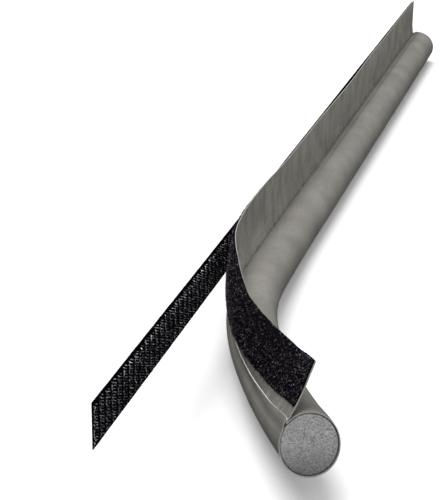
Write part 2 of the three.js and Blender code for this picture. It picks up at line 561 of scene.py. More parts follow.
# %% [markdown]
# Real cloth is never quite even. The flap is gathered a little by its bond, so shallow puckers rise
# from the crease and die out towards the tape. The far half of the roll has a fine ridge beside the
# crease, where the bond shows through. The weld has pressed short marks into the lap, and the
# peeled part has three short folds. Each is under a millimetre, moved along the sheet's own normal,
# and smooth noise keeps the long ones irregular.

# %% The cover's relief
PUCKER_PITCH = 11 * MM
PUCKER_DEPTH = 0.5 * MM
UNEVEN_PITCH = 45 * MM
UNEVEN_DEPTH = 0.16 * MM
GATHER_TURN = 14
FREE_TURN = 8
HELD_HEIGHT = 2 * MM
RIDGE_TURN = 17
RIDGE_HALF_TURN = 2.8
RIDGE_HEIGHT = 0.6 * MM
RIDGE_FROM = 400 * MM
RIDGE_FADE = 90 * MM
RIDGE_U = CREASE_U - math.radians(RIDGE_TURN) * ROLL_RADIUS
WELD_PITCH = 1.9 * MM
WELD_DEPTH = 0.09 * MM
Fold = namedtuple("Fold", "from_end height turn length width depth")
FOLDS = [
    Fold(from_end=62 * MM, height=6 * MM, turn=60, length=6 * MM, width=1.3 * MM, depth=0.9 * MM),
    Fold(from_end=84 * MM, height=7 * MM, turn=48, length=5 * MM, width=1.2 * MM, depth=-0.6 * MM),
    Fold(from_end=128 * MM, height=9 * MM, turn=70, length=9 * MM, width=2.2 * MM, depth=0.35 * MM),
]


def pucker(from_end, height):
    """The flap's puckers, which die out towards its hem, in metres."""
    share = max(0, 1 - height / FLAP_HEIGHT)
    wave = lumps(from_end / PUCKER_PITCH, height / (70 * MM), 3.1)
    broad = lumps(from_end / (4 * PUCKER_PITCH), height / (90 * MM), 8.7)
    return PUCKER_DEPTH * (wave + 0.6 * broad) * share**1.2


def fold_relief(from_end, height):
    """The few short folds of the peeled part, each a smooth ridge or dent, in metres."""
    total = 0
    for fold in FOLDS:
        turn = math.radians(fold.turn)
        along = from_end - fold.from_end
        up = height - fold.height
        on = along * math.cos(turn) + up * math.sin(turn)
        off = up * math.cos(turn) - along * math.sin(turn)
        total += fold.depth * math.exp(-((on / fold.length) ** 2) - (off / fold.width) ** 2)
    return total


def relief(stop, from_end):
    """How far the outer face stands out at one stop, in metres."""
    if stop.part == "flap":
        held = min(stop.value / HELD_HEIGHT, 1)
        return (pucker(from_end, stop.value) + fold_relief(from_end, stop.value)) * held
    if stop.part == "wrap":
        turn = 360 - stop.value
        uneven = lumps(from_end / UNEVEN_PITCH, turn / 70, 1.3) * UNEVEN_DEPTH
        across_ridge = math.exp(-(((turn - RIDGE_TURN) / RIDGE_HALF_TURN) ** 2))
        ridge = RIDGE_HEIGHT * share_of(from_end, RIDGE_FROM, RIDGE_FADE) * across_ridge
        gathers = pucker(from_end, 0) * math.exp(-turn / GATHER_TURN) * 0.5
        return (uneven + gathers) * min(turn / FREE_TURN, 1) + ridge
    marks = math.sin(2 * math.pi * from_end / WELD_PITCH)
    return WELD_DEPTH * marks * (0.6 + 0.6 * lumps(from_end / (6 * MM), 0, 2.2))


print("relief:", len(FOLDS), "folds, puckers of up to", PUCKER_DEPTH / MM, "mm")


# %% [markdown]
# ## The coated cloth
# The cover is a close plain weave under a thin soft coating, so it has a satin face and a very fine
# thread pattern. The weave is drawn on the sheet's own UV map, which is in metres as it was cut, so
# the threads stay straight in the cloth where it bends. Two sets of bands crossed make the weave.
# Light and shade are painted on to the face in bands of the flat sheet: painted shade in the crease,
# a painted highlight on the ridge between bands of painted shade in the far half, painted shade over
# the weld with a painted highlight at its edge, and painted light on the upper part of the flap where
# it is pressed on. Each multiplies the colour along a band of the flat sheet.

# %% Coated cloth
THREAD = 0.42 * MM
WAVE_PERIOD = math.pi / 10
BLOTCH_SIZE = 22 * MM
MOTTLE_SIZE = 3.2 * MM
SPECK_SIZE = 0.9 * MM
STREAKS_A_METRE = (45, 130, 1)
MOTTLE_REACH = 24 * MM
Mark = namedtuple("Mark", "centre half_width shade far_half")
# Painted shade in the crease and beside the ridge, painted highlights on the ridge and at the weld's
# edge, and painted shade over the weld.
PAINTED_LIGHT_MARKS = [
    Mark(centre=CREASE_U, half_width=0.7 * MM, shade=0.72, far_half=False),
    Mark(centre=RIDGE_U - 0.4 * MM, half_width=3.8 * MM, shade=0.6, far_half=True),
    Mark(centre=RIDGE_U, half_width=0.95 * MM, shade=2.0, far_half=True),
    Mark(centre=WELD_U / 2, half_width=WELD_U / 2, shade=0.84, far_half=False),
    Mark(centre=WELD_U, half_width=0.4 * MM, shade=1.25, far_half=False),
]
# Painted light: the upper part of the gripped flap is made paler.
UPPER_FLAP_PAINTED_LIGHT = 1.35
PAINTED_LIGHT_FROM_CREASE = 6 * MM


def weave(tree, uv, pitch):
    """The height of a plain weave, from 0 to 1."""
    across, along = (
        add(
            tree,
            "TexWave",
            {"Vector": uv, "Scale": WAVE_PERIOD / (2 * pitch)},
            wave_type="BANDS",
            bands_direction=direction,
            wave_profile="SIN",
        ).outputs["Fac"]
        for direction in ("X", "Y")
    )
    across_under, along_under = (maths(tree, "SUBTRACT", 1.0, up) for up in (across, along))
    return weighed(tree, (across, along), (across_under, along_under))


def band(tree, value, centre, half_width):
    """1 in the middle of a band of the value, and 0 outside it."""
    away = maths(tree, "ABSOLUTE", maths(tree, "SUBTRACT", value, centre))
    return maths(tree, "SUBTRACT", 1.0, maths(tree, "DIVIDE", away, half_width), clamp=True)


def rising(tree, value, start, end):
    """0 below start, 1 above end, and straight between them."""
    made = add(tree, "MapRange", {"Value": value, "From Min": start, "From Max": end})
    return made.outputs["Result"]


def shade_by(tree, colour, amount, share):
    """The colour multiplied by amount where share is 1, and left alone where it is 0."""
    inputs = {0: colour, "Scale": times_plus(tree, share, amount - 1, 1.0)}
    return add(tree, "VectorMath", inputs, operation="SCALE").outputs["Vector"]


def paint_light_and_shade(tree, across, along, colour):
    """Painted shade and painted highlights along bands of the sheet, and painted light on the gripped
    upper flap.
    """
    far = rising(tree, along, RIDGE_FROM, RIDGE_FROM + RIDGE_FADE)
    for mark in PAINTED_LIGHT_MARKS:
        share = band(tree, across, mark.centre, mark.half_width)
        if mark.far_half:
            share = maths(tree, "MULTIPLY", share, far)
        colour = shade_by(tree, colour, mark.shade, share)
    # Painted light on the upper flap, where it is gripped.
    held = rising(tree, along, GRIP_FROM, RIDGE_FROM + 2 * RIDGE_FADE)
    upper = rising(tree, across, CREASE_U + PAINTED_LIGHT_FROM_CREASE, CREASE_U + FLAP_HEIGHT)
    return shade_by(tree, colour, UPPER_FLAP_PAINTED_LIGHT, maths(tree, "MULTIPLY", upper, held))


def cloth_material(name, dark, light, roughness, thread_depth, painted_marks):
    """The cloth: broad blotches, fine specks, streaks up the flap, and mottling by its crease."""
    made, tree, shader = new_material(name, roughness, Specular_IOR_Level=0.5)
    coordinates = add(tree, "TexCoord")
    uv = coordinates.outputs["UV"]
    across, along = (part_of(tree, uv, axis) for axis in ("X", "Y"))
    blotches = grain(tree, coordinates.outputs["Object"], BLOTCH_SIZE, 3.0)
    specks = grain(tree, uv, SPECK_SIZE, 2.0, 0.6)
    on_flap = rising(tree, across, CREASE_U - 1 * MM, CREASE_U + 1 * MM)
    streak_space = add(tree, "Mapping", {"Vector": uv, "Scale": STREAKS_A_METRE}).outputs["Vector"]
    streaks = maths(tree, "SUBTRACT", grain(tree, streak_space, 1.0), 0.5)
    streaks = maths(tree, "MULTIPLY", streaks, on_flap)
    by_crease = rising(tree, across, CREASE_U + MOTTLE_REACH, CREASE_U)
    mottling = times_plus(tree, maths(tree, "MULTIPLY", on_flap, by_crease), 0.7, 0.25)
    mottle = maths(tree, "SUBTRACT", grain(tree, uv, MOTTLE_SIZE, 3.0, 0.6), 0.52)
    tone = weighed(tree, (blotches, 0.4), (specks, 0.35), (streaks, 0.6), (mottle, mottling))
    colour = ramp(tree, tone, (0.24, dark), (0.5, light))
    if painted_marks:
        colour = paint_light_and_shade(tree, across, along, colour)
    fine = bump(tree, specks, 0.04 * MM)
    connect(tree, shader, colour, bump(tree, weave(tree, uv, THREAD), thread_depth, fine))
    return made


FACE_COLOURS = ((0.195, 0.187, 0.168), (0.305, 0.293, 0.266))
BACK_COLOURS = ((0.17, 0.162, 0.145), (0.27, 0.259, 0.235))
CLOTH_FACE = cloth_material("cloth_face", *FACE_COLOURS, 0.42, 0.035 * MM, painted_marks=True)
CLOTH_BACK = cloth_material("cloth_back", *BACK_COLOURS, 0.7, 0.06 * MM, painted_marks=False)
print("cloth threads", THREAD / MM, "mm apart")

# %% [markdown]
# Where the cloth is cut, the pale yarn shows between its two faces. It is a material of its own, and
# the Solidify modifier can put it on the rim alone. The lap's edge has a painted highlight on top of
# the pale yarn.

# %% Cut edge
LAP_EDGE_PAINTED_HIGHLIGHT = 2.3


def cut_edge_material():
    """Pale fibres, with a painted highlight along the lap's own edge."""
    made, tree, shader = new_material("cut_edge", 0.75)
    coordinates = add(tree, "TexCoord")
    fibres = grain(tree, coordinates.outputs["Object"], 0.5 * MM, 2.0)
    colour = ramp(tree, fibres, (0.35, (0.24, 0.23, 0.21)), (0.65, (0.4, 0.385, 0.355)))
    across = part_of(tree, coordinates.outputs["UV"], "X")
    # Painted highlight along the lap's cut edge.
    colour = shade_by(tree, colour, LAP_EDGE_PAINTED_HIGHLIGHT, rising(tree, across, 1.0 * MM, 0.6 * MM))
    connect(tree, shader, colour, bump(tree, fibres, 0.08 * MM))
    return made


CUT_EDGE = cut_edge_material()
print("cut edge finish made")

# %% [markdown]
# The sheet is made with create_grid, a column for each stop and a row for each step along, and its
# vertices then go to their places a row at a time. Solidify gives it its thickness, and puts the
# back and the pale cut edge in their own material slots. The UV map holds the flat sheet.

# %% Make the cover
COVER_ROWS = 400
FAR_TRIM = 8 * MM
FAR_TRIM_REACH = 60 * MM
FAR_TRIM_TURN = 70


def section_row(from_end):
    """The outer face's points in section at one station, with the crease a little rounded."""
    points = [sheet_point(stop, from_end) for stop in ACROSS]
    points[CREASE] -= points[CREASE].normalized() * CREASE_PINCH
    for i in range(CREASE - 1, CREASE + 2):
        points[i] = (points[i - 1] + points[i] * 4 + points[i + 1]) / 6
    raised = []
    for i, point in enumerate(points):
        chord = points[min(i + 1, len(points) - 1)] - points[max(i - 1, 0)]
        outward = Vector((chord.y, -chord.x)).normalized()
        raised.append(point + outward * relief(ACROSS[i], from_end))
    return raised


def bent_grid(columns, rows):
    """A flat grid whose vertices know their column and row, in a bmesh with a UV map."""
    bm = bmesh.new()
    bm.loops.layers.uv.new("flat")
    bmesh.ops.create_grid(bm, x_segments=columns - 1, y_segments=rows - 1, size=0.5)
    bm.verts.ensure_lookup_table()
    bm.verts.index_update()
    return bm


def lay_uv(bm, columns, place_of):
    """Writes the flat place of each vertex, found from its column and row, into the UV map."""
    layer = bm.loops.layers.uv["flat"]
    for face in bm.faces:
        for loop in face.loops:
            row, column = divmod(loop.vert.index, columns)
            loop[layer].uv = place_of(column, row)


def far_trim(from_end, stop):
    """How far the roll's part of the far end is cut back from the flap's, in metres."""
    if stop.part != "wrap":
        return 0
    late = share_of(from_end, CUT_LENGTH - FAR_TRIM_REACH, FAR_TRIM_REACH)
    away_from_fin = min(min(stop.value - LAP_TURN, 360 - stop.value) / FAR_TRIM_TURN, 1)
    return FAR_TRIM * late**2 * math.sin(away_from_fin * math.pi / 2)


def make_cover():
    """The whole sheet, bent row by row and then thickened inwards."""
    columns = len(ACROSS)
    bm = bent_grid(columns, COVER_ROWS)
    stations = [CUT_LENGTH * i / (COVER_ROWS - 1) for i in range(COVER_ROWS)]
    for row, from_end in enumerate(stations):
        for column, point in enumerate(section_row(from_end)):
            along = from_end - far_trim(from_end, ACROSS[column])
            bm.verts[row * columns + column].co = place(along, point)
    lay_uv(bm, columns, lambda column, row: (FLAT[column], stations[row]))
    bmesh.ops.reverse_faces(bm, faces=bm.faces)
    made = new_piece("cover_cloth", bm, CLOTH_FACE, CLOTH_BACK, CUT_EDGE)
    thicken(made, CLOTH, back=1, rim=2)
    return made


cover_cloth = make_cover()
print("cover", round(CUT_WIDTH, 4), "by", CUT_LENGTH, "m flat", counts([cover_cloth]))

# %% [markdown]
# The flap's near end is cut across the weave, so a few threads have worked loose along it. Each is a
# short arc, drawn as a curve with a round section, and all of them are one curve object that is
# turned into a mesh.

# %% Make the loose threads
LOOSE_THREADS = 15
LOOSE_RADIUS = 0.07 * MM
ROOT_DEPTH = 0.3 * MM


def loose_thread(curve, draw):
    """One short arc that leaves the flap's cut end and curls."""
    height = draw.uniform(2, 13) * MM
    reach = draw.uniform(0.7, 1.9) * MM
    swing = draw.uniform(-1.3, 1.3) * MM
    middle, across, up = section(0)
    ahead = across.cross(up)
    spline = curve.splines.new("BEZIER")
    spline.bezier_points.add(2)
    for i, point in enumerate(spline.bezier_points):
        share = i / 2
        where = off_flap(0, height + swing * share**2, CLOTH * 0.5 - swing * 0.4 * share)
        out = reach * math.sin(share * 2.2) - ROOT_DEPTH * (1 - share)
        point.co = place(0, where) + ahead * out
        point.handle_left_type = "AUTO"
        point.handle_right_type = "AUTO"


def make_loose_threads():
    """All the loose threads, as one mesh."""
    draw = random.Random(8)
    curve = bpy.data.curves.new("loose_threads", "CURVE")
    curve.dimensions = "3D"
    curve.bevel_depth = LOOSE_RADIUS
    curve.bevel_resolution = 1
    curve.resolution_u = 5
    for _ in range(LOOSE_THREADS):
        loose_thread(curve, draw)
    drawn = bpy.data.objects.new("threads_drawn", curve)
    bpy.context.scene.collection.objects.link(drawn)
    graph = bpy.context.evaluated_depsgraph_get()
    mesh = bpy.data.meshes.new_from_object(drawn.evaluated_get(graph))
    bpy.data.objects.remove(drawn)
    made = bpy.data.objects.new("loose_threads", mesh)
    bpy.context.scene.collection.objects.link(made)
    all_smooth(mesh, CUT_EDGE)
    return made


pieces_of_cloth = [make_loose_threads()] if LOOSE_THREADS else []
print("loose threads", counts(pieces_of_cloth))

# %% [markdown]
# ## The foam rod
# The rod is closed-cell foam, cut square. Only its ends show, and a cut end is full of small open
# cells, so each end is a fine grid pressed into a disc, with real dents for the larger cells. The
# two discs' edges are then bridged, and the bridge is cut into stations that follow the line.

# %% Foam finish
FOAM_PAINTED_SHADE = 0.45
FOAM_PAINTED_SHADE_HEIGHT = 15 * MM


def foam_material():
    """Pale grains with dark open cells between them, and painted shade that darkens the bottom."""
    made, tree, shader = new_material("foam", 0.9, Specular_IOR_Level=0.25)
    place_in = add(tree, "TexCoord").outputs["Object"]
    cells = add(tree, "TexVoronoi", {"Vector": place_in, "Scale": 1 / (0.7 * MM), "Randomness": 1.0})
    fine = grain(tree, place_in, 0.45 * MM, 3.0, 0.65)
    coarse = grain(tree, place_in, 3.2 * MM, 2.0)
    tone = weighed(tree, (cells.outputs["Distance"], 0.3), (fine, 0.72), (coarse, 0.15))
    colour = ramp(
        tree,
        tone,
        (0.38, (0.53, 0.53, 0.535)),
        (0.52, (0.37, 0.37, 0.375)),
        (0.66, (0.25, 0.25, 0.255)),
        (0.8, (0.1, 0.1, 0.103)),
    )
    # Painted shade, darkest at the bottom of the rod.
    low = MIDDLES[0].z - ROLL_RADIUS
    share = rising(tree, part_of(tree, place_in, "Z"), low + FOAM_PAINTED_SHADE_HEIGHT, low)
    colour = shade_by(tree, colour, FOAM_PAINTED_SHADE, share)
    connect(tree, shader, colour, bump(tree, tone, -0.16 * MM))
    return made


FOAM = foam_material()
print("foam finish made")

# %% Make the foam rod
ROD_RADIUS = ROLL_RADIUS - CLOTH - 0.24 * MM
ROD_SETTLE = Vector((-0.12, -0.15)) * MM
END_CELLS = 72
ROD_STATIONS = 90
END_ROUND = 0.7 * MM
END_RECESS = 0.25 * MM
END_PITS = 46
ROD_SHARP = math.radians(65)
Pit = namedtuple("Pit", "across up radius")


def pits(seed):
    """Open cells of the cut end: a few listed where they are thickest, and the rest strewn."""
    draw = random.Random(seed)
    strewn = [
        Pit(across=7.4 * MM, up=8.2 * MM, radius=0.5 * MM),
        Pit(across=8.4 * MM, up=6.4 * MM, radius=0.62 * MM),
        Pit(across=9.6 * MM, up=6.2 * MM, radius=0.45 * MM),
        Pit(across=6.8 * MM, up=9.6 * MM, radius=0.4 * MM),
        Pit(across=-8.6 * MM, up=5.4 * MM, radius=0.4 * MM),
        Pit(across=-9.8 * MM, up=0.6 * MM, radius=0.45 * MM),
    ]
    for _ in range(END_PITS):
        angle = draw.uniform(0, 2 * math.pi)
        away = ROD_RADIUS * 0.93 * math.sqrt(draw.random())
        radius = draw.uniform(0.22, 0.42) * MM
        strewn.append(Pit(away * math.cos(angle), away * math.sin(angle), radius))
    return strewn


def disc_point(x, y):
    """A point of a square from -1 to 1, pressed into a disc of radius 1."""
    return Vector((x * math.sqrt(1 - y * y / 2), y * math.sqrt(1 - x * x / 2)))


def end_depth(point, holes):
    """How deep the cut end lies at a point of the disc, in metres."""
    away = point.length / ROD_RADIUS
    rounding = END_ROUND * max(0, (away - 0.93) / 0.07) ** 2.5
    rough = lumps(*Vector((point.x, point.y, 0)) / (1.3 * MM)) * 0.1 * MM
    rough += lumps(*Vector((point.x, point.y, 4 * MM)) / (0.6 * MM)) * 0.07 * MM
    dents = 0
    for pit in holes:
        gone = ((point.x - pit.across) ** 2 + (point.y - pit.up) ** 2) / pit.radius**2
        if gone < 4:
            dents += 1.1 * pit.radius * math.exp(-gone * 1.6)
    return END_RECESS + rounding + dents + rough * (1 - max(0, (away - 0.9) / 0.1))


def make_foam_rod():
    """Two rough ends joined by a smooth side."""
    bm = bmesh.new()
    ends = {}
    for near, seed in ((True, 11), (False, 12)):
        made = bmesh.ops.create_grid(bm, x_segments=END_CELLS, y_segments=END_CELLS, size=1)
        holes = pits(seed)
        for vert in made["verts"]:
            flat = disc_point(vert.co.x, vert.co.y) * ROD_RADIUS
            depth = end_depth(flat, holes)
            from_end = depth if near else CUT_LENGTH - FAR_TRIM - depth
            vert.co = (flat.x, flat.y, from_end)
        grid = set(made["verts"])
        ends[near] = [edge for edge in bm.edges if edge.is_boundary and edge.verts[0] in grid]
    bridge = bmesh.ops.bridge_loops(bm, edges=ends[True] + ends[False])
    long_edges = [edge for edge in bridge["edges"] if edge.calc_length() > CUT_LENGTH / 2]
    bmesh.ops.subdivide_edges(bm, edges=long_edges, cuts=ROD_STATIONS, use_grid_fill=True)
    for vert in bm.verts:
        vert.co = place(vert.co.z, Vector((vert.co.x, vert.co.y)) + ROD_SETTLE)
    bmesh.ops.recalc_face_normals(bm, faces=bm.faces)
    made = new_piece("foam_rod", bm, FOAM)
    mark_sharp(made, ROD_SHARP)
    return made


foam_rod = make_foam_rod()
print("foam rod", round(2 * ROD_RADIUS / MM, 1), "mm across", counts([foam_rod]))

# %% [markdown]
# ## The loop tape
# The loop half of the tape is a woven ground with a pile of tiny nylon loops, specks of violet and
# olive on black, with pale grey specks that are painted glints. The ground is a bent grid like the
# cover. Its pile is scattered over the part that shows, by a small Geometry Nodes graph: points on
# the ground's outer face, a loop on each, turned at random, and all of it made real, so that it is a
# mesh like any other.

# %% Tape finishes
TAPE_THREAD = 0.5 * MM


def pile_material():
    """Nylon loops, each cell of the surface with a chance colour, most of them near black, and the
    palest ones painted glints.
    """
    made, tree, shader = new_material("loop_pile", 0.45, Specular_IOR_Level=0.35)
    place_in = add(tree, "TexCoord").outputs["Object"]
    cells = add(tree, "TexVoronoi", {"Vector": place_in, "Scale": 1 / (0.8 * MM), "Randomness": 1.0})
    chance = add(tree, "SeparateColor", {"Color": cells.outputs["Color"]})
    colour = ramp(
        tree,
        chance.outputs["Red"],
        (0.0, (0.0015, 0.0012, 0.002)),
        (0.4, (0.004, 0.003, 0.006)),
        (0.62, (0.04, 0.018, 0.065)),
        (0.76, (0.048, 0.044, 0.02)),
        (0.86, (0.11, 0.075, 0.15)),
        # Painted glints: the palest grey loops.
        (0.94, (0.2, 0.21, 0.17)),
        (1.0, (0.34, 0.33, 0.38)),
    )
    connect(tree, shader, colour)
    return made


def tape_ground_material(name, dark, light):
    """The woven ground under the pile or the hooks."""
    made, tree, shader = new_material(name, 0.9, Specular_IOR_Level=0.05)
    coordinates = add(tree, "TexCoord")
    fuzz = grain(tree, coordinates.outputs["Object"], 0.55 * MM, 3.0, 0.7)
    colour = ramp(tree, fuzz, (0.4, dark), (0.72, light))
    threads = weave(tree, coordinates.outputs["UV"], TAPE_THREAD)
    connect(tree, shader, colour, bump(tree, threads, 0.1 * MM, bump(tree, fuzz, 0.3 * MM)))
    return made


PILE = pile_material()
LOOP_GROUND = tape_ground_material("loop_ground", (0.0012, 0.001, 0.0015), (0.005, 0.004, 0.006))
print("tape finishes made")

# %% Instances on points


def random_vector(group, low, high, seed):
    """A vector for each point, drawn evenly between low and high."""
    inputs = {0: low, 1: high, "Seed": seed}
    return add_node(group, "FunctionNodeRandomValue", inputs, data_type="FLOAT_VECTOR").outputs[0]


def strew(bed, template, low_turn, high_turn, scale, seed, density=None):
    """Puts the template on each of the bed's vertices, or on random points of its faces."""
    group = bpy.data.node_groups.new(bed.name, "GeometryNodeTree")
    group.interface.new_socket("Geometry", in_out="INPUT", socket_type="NodeSocketGeometry")
    group.interface.new_socket("Geometry", in_out="OUTPUT", socket_type="NodeSocketGeometry")
    points = group.nodes.new("NodeGroupInput").outputs[0]
    turn = random_vector(group, low_turn, high_turn, seed)
    if density:
        over_faces = {"Mesh": points, "Density": density, "Seed": seed}
        spread = add_node(group, "GeometryNodeDistributePointsOnFaces", over_faces)
        points = spread.outputs["Points"]
        spin = add_node(group, "FunctionNodeEulerToRotation", {"Euler": turn})
        turn = add_node(
            group,
            "FunctionNodeRotateRotation",
            {"Rotation": spread.outputs["Rotation"], "Rotate By": spin.outputs[0]},
            rotation_space="LOCAL",
        ).outputs[0]
    source = add_node(group, "GeometryNodeObjectInfo", {"Object": template})
    size = random_vector(group, (scale[0],) * 3, (scale[1],) * 3, seed + 1)
    placed = add_node(
        group,
        "GeometryNodeInstanceOnPoints",
        {"Points": points, "Instance": source.outputs["Geometry"], "Rotation": turn, "Scale": size},
    )
    real = add_node(group, "GeometryNodeRealizeInstances", {"Geometry": placed.outputs[0]})
    out = group.nodes.new("NodeGroupOutput")
    group.links.new(real.outputs[0], out.inputs[0])
    modifier = bed.modifiers.new("strew", "NODES")
    modifier.node_group = group
    apply_modifiers(bed)
    all_smooth(bed.data, template.data.materials[0])
    bpy.data.objects.remove(template)


# %% [markdown]
# A loop is a thin thread bent into an arch. A three-sided ring spun through half a turn is enough,
# because each one is about a millimetre across and there are thousands of them. The ground follows
# the cloth's own puckers and folds, and its long edges stray a little, as a woven tape's do.

# %% Make the loop tape
LOOP_GROUND_BACK = CLOTH + 0.05 * MM
LOOP_GROUND_THICKNESS = 0.5 * MM
LOOP_FACE = LOOP_GROUND_BACK + LOOP_GROUND_THICKNESS
LOOP_COLUMNS = 11
LOOP_ROWS = 400
PILE_REACH = 395 * MM
PILE_DENSITY = 0.8 / MM**2
LOOP_SPAN = 0.4 * MM
LOOP_THREAD = 0.085 * MM
LOOP_TILT = 0.5
LOOP_SCALES = (0.75, 1.35)
PILE_SEED = 5


def ragged(from_end, side):
    """How far the tape's long edge strays, in metres."""
    fine = lumps(from_end / (2.2 * MM), side * 7, 0.4)
    broad = lumps(from_end / (11 * MM), side * 5, 9.1)
    return (0.28 * fine + 0.3 * broad) * MM


def loop_stations():
    """Where the tape's rows of vertices lie, all along it."""
    length = CUT_LENGTH - 2 * LOOP_SETBACK
    return [LOOP_SETBACK + length * i / (LOOP_ROWS - 1) for i in range(LOOP_ROWS)]


def loop_ground(name, last, inset=0.0):
    """The outer face of the tape, from the near end to the last station."""
    stations = [x for x in loop_stations() if x <= last]
    bm = bent_grid(LOOP_COLUMNS, len(stations))
    for row, from_end in enumerate(stations):
        low = FLAP_HEIGHT - TAPE_WIDTH + inset + ragged(from_end, 0)
        high = FLAP_HEIGHT - inset + ragged(from_end, 1) * 0.6
        for column in range(LOOP_COLUMNS):
            height = low + (high - low) * column / (LOOP_COLUMNS - 1)
            wave = pucker(from_end, height) + fold_relief(from_end, height)
            point = off_flap(from_end, height, LOOP_FACE - wave + pressed_in(from_end, height))
            bm.verts[row * LOOP_COLUMNS + column].co = place(from_end, point)
    step = TAPE_WIDTH / (LOOP_COLUMNS - 1)
    lay_uv(bm, LOOP_COLUMNS, lambda column, row: (column * step, stations[row]))
    return new_piece(name, bm, LOOP_GROUND)


def loop_template():
    """One loop of the pile: half a ring that stands on the ground."""
    bm = bmesh.new()
    bmesh.ops.create_circle(bm, segments=3, radius=LOOP_THREAD)
    bmesh.ops.translate(bm, vec=(LOOP_SPAN, 0, 0), verts=bm.verts)
    bmesh.ops.spin(
        bm, geom=bm.edges[:], cent=(0, 0, 0), axis=(0, 1, 0), angle=-math.pi, steps=4, use_merge=False
    )
    bmesh.ops.scale(bm, vec=(1, 1, 1.5), verts=bm.verts)
    bmesh.ops.recalc_face_normals(bm, faces=bm.faces)
    return new_piece("one_loop", bm, PILE)


loop_tape = loop_ground("loop_ground", CUT_LENGTH)
thicken(loop_tape, LOOP_GROUND_THICKNESS)
pieces_of_loop = [loop_tape]
if PILE_DENSITY:
    pile = loop_ground("loop_pile", PILE_REACH, inset=0.1 * MM)
    low_turn = (-LOOP_TILT, -LOOP_TILT, 0)
    high_turn = (LOOP_TILT, LOOP_TILT, 2 * math.pi)
    strew(pile, loop_template(), low_turn, high_turn, LOOP_SCALES, PILE_SEED, PILE_DENSITY)
    pieces_of_loop.append(pile)
print("loop tape", counts(pieces_of_loop))

# %% [markdown]
# ## The hook tape
# The hook half is a straight woven strip with rows of small stiff nylon hooks, and a plain selvage
# along each edge. In the picture the hooks show as a herring-bone of fine bright dots, so they are
# made one by one: a ring extruded up and spun over into a crook. They stand in pairs that turn away
# from one another, which gives the rows their slant. Where the flap hides them they are smaller and
# have fewer faces.

# %% Hook finishes
TOP_ROWS_PAINTED_LIGHT = 2.2


def hook_material():
    """Dark nylon, with hooks painted paler at random as glints, and more painted light on the top
    rows.
    """
    made, tree, shader = new_material("hook_nylon", 0.32, Specular_IOR_Level=0.8)
    place_in = add(tree, "TexCoord").outputs["Object"]
    tint_and_glint = grain(tree, place_in, 1.6 * MM, 1.0)
    # The paler stops are painted glints on black nylon.
    colour = ramp(
        tree,
        tint_and_glint,
        (0.36, (0.02, 0.017, 0.027)),
        (0.52, (0.15, 0.13, 0.175)),
        (0.66, (0.55, 0.55, 0.57)),
    )
    # Painted light on the top rows of hooks.
    height = part_of(tree, place_in, "Z")
    top_rows = rising(tree, height, TAPE_HIGH.z - 7 * MM, TAPE_HIGH.z - 3 * MM)
    connect(tree, shader, shade_by(tree, colour, TOP_ROWS_PAINTED_LIGHT, top_rows))
    return made


HOOKS = hook_material()
HOOK_GROUND = tape_ground_material("hook_ground", (0.0015, 0.0015, 0.002), (0.006, 0.006, 0.007))
print("hook finishes made")

# %% Make the hook tape's ground
HOOK_GROUND_THICKNESS = 0.45 * MM
SELVAGE_TOP = 2.2 * MM
SELVAGE_BOTTOM = 2.4 * MM
HOOK_ROWS = 400
HOOK_COLUMNS = 9


def make_hook_ground():
    """The straight strip, thickened back on to its flat face."""
    columns = HOOK_COLUMNS
    bm = bent_grid(columns, HOOK_ROWS)
    length = FAR_END - NEAR_END
    for vert in bm.verts:
        row, column = divmod(vert.index, columns)
        along = NEAR_END + length * row / (HOOK_ROWS - 1)
        share = column / (columns - 1)
        edge = ragged(along, 2) * 0.5 * (share * 2 - 1)
        height = TAPE_LOW.z + TAPE_WIDTH * share + edge
        vert.co = (TAPE_LOW.x + HOOK_GROUND_THICKNESS, along, height)
    step = TAPE_WIDTH / (columns - 1)
    lay_uv(bm, columns, lambda column, row: (column * step, length * row / (HOOK_ROWS - 1)))
    bmesh.ops.recalc_face_normals(bm, faces=bm.faces)
    if bm.faces[0].normal.x < 0:
        bmesh.ops.reverse_faces(bm, faces=bm.faces)
    made = new_piece("hook_ground", bm, HOOK_GROUND)
    thicken(made, HOOK_GROUND_THICKNESS)
    return made


hook_tape = make_hook_ground()
print("hook tape", counts([hook_tape]))

# %% Make the hooks
HOOK_PITCH_UP = 1.55 * MM
HOOK_PITCH_ALONG = 7.8 * MM
HOOK_THREAD = 0.16 * MM
HOOK_STEM = 0.35 * MM
HOOK_CROOK = 0.52 * MM
HOOK_TURN = math.radians(150)
HOOK_SPLAY = math.radians(50)
HOOK_RISE = math.radians(12)
HOOK_SWAY = 0.12
HOOK_TWIST = 0.15
HOOK_OFF_MIDDLE = HOOK_PITCH_ALONG / 5.8
HOOKS_REACH = 400 * MM
HOOKS_SEED = 60


def add_hook(bm, sides, steps, splay, shift):
    """One hook: a stem on +Z and a crook that turns over, away from +X by the splay."""
    before = set(bm.verts)
    ring = set(bmesh.ops.create_circle(bm, segments=sides, radius=HOOK_THREAD)["verts"])
    rim = [edge for edge in bm.edges if edge.verts[0] in ring]
    up = bmesh.ops.extrude_edge_only(bm, edges=rim)["geom"]
    top = [item for item in up if isinstance(item, bmesh.types.BMVert)]
    bmesh.ops.translate(bm, vec=(0, 0, HOOK_STEM), verts=top)
    crook = bmesh.ops.spin(
        bm,
        geom=[item for item in up if isinstance(item, bmesh.types.BMEdge)],
        cent=(HOOK_CROOK, 0, HOOK_STEM),
        axis=(0, 1, 0),
        angle=HOOK_TURN,
        steps=steps,
        use_merge=False,
    )["geom_last"]
    tip = [item for item in crook if isinstance(item, bmesh.types.BMEdge)]
    bmesh.ops.holes_fill(bm, edges=tip, sides=sides)
    made = [vert for vert in bm.verts if vert not in before]
    bmesh.ops.rotate(bm, cent=(0, 0, 0), matrix=Matrix.Rotation(splay, 3, "Z"), verts=made)
    bmesh.ops.translate(bm, vec=shift, verts=made)


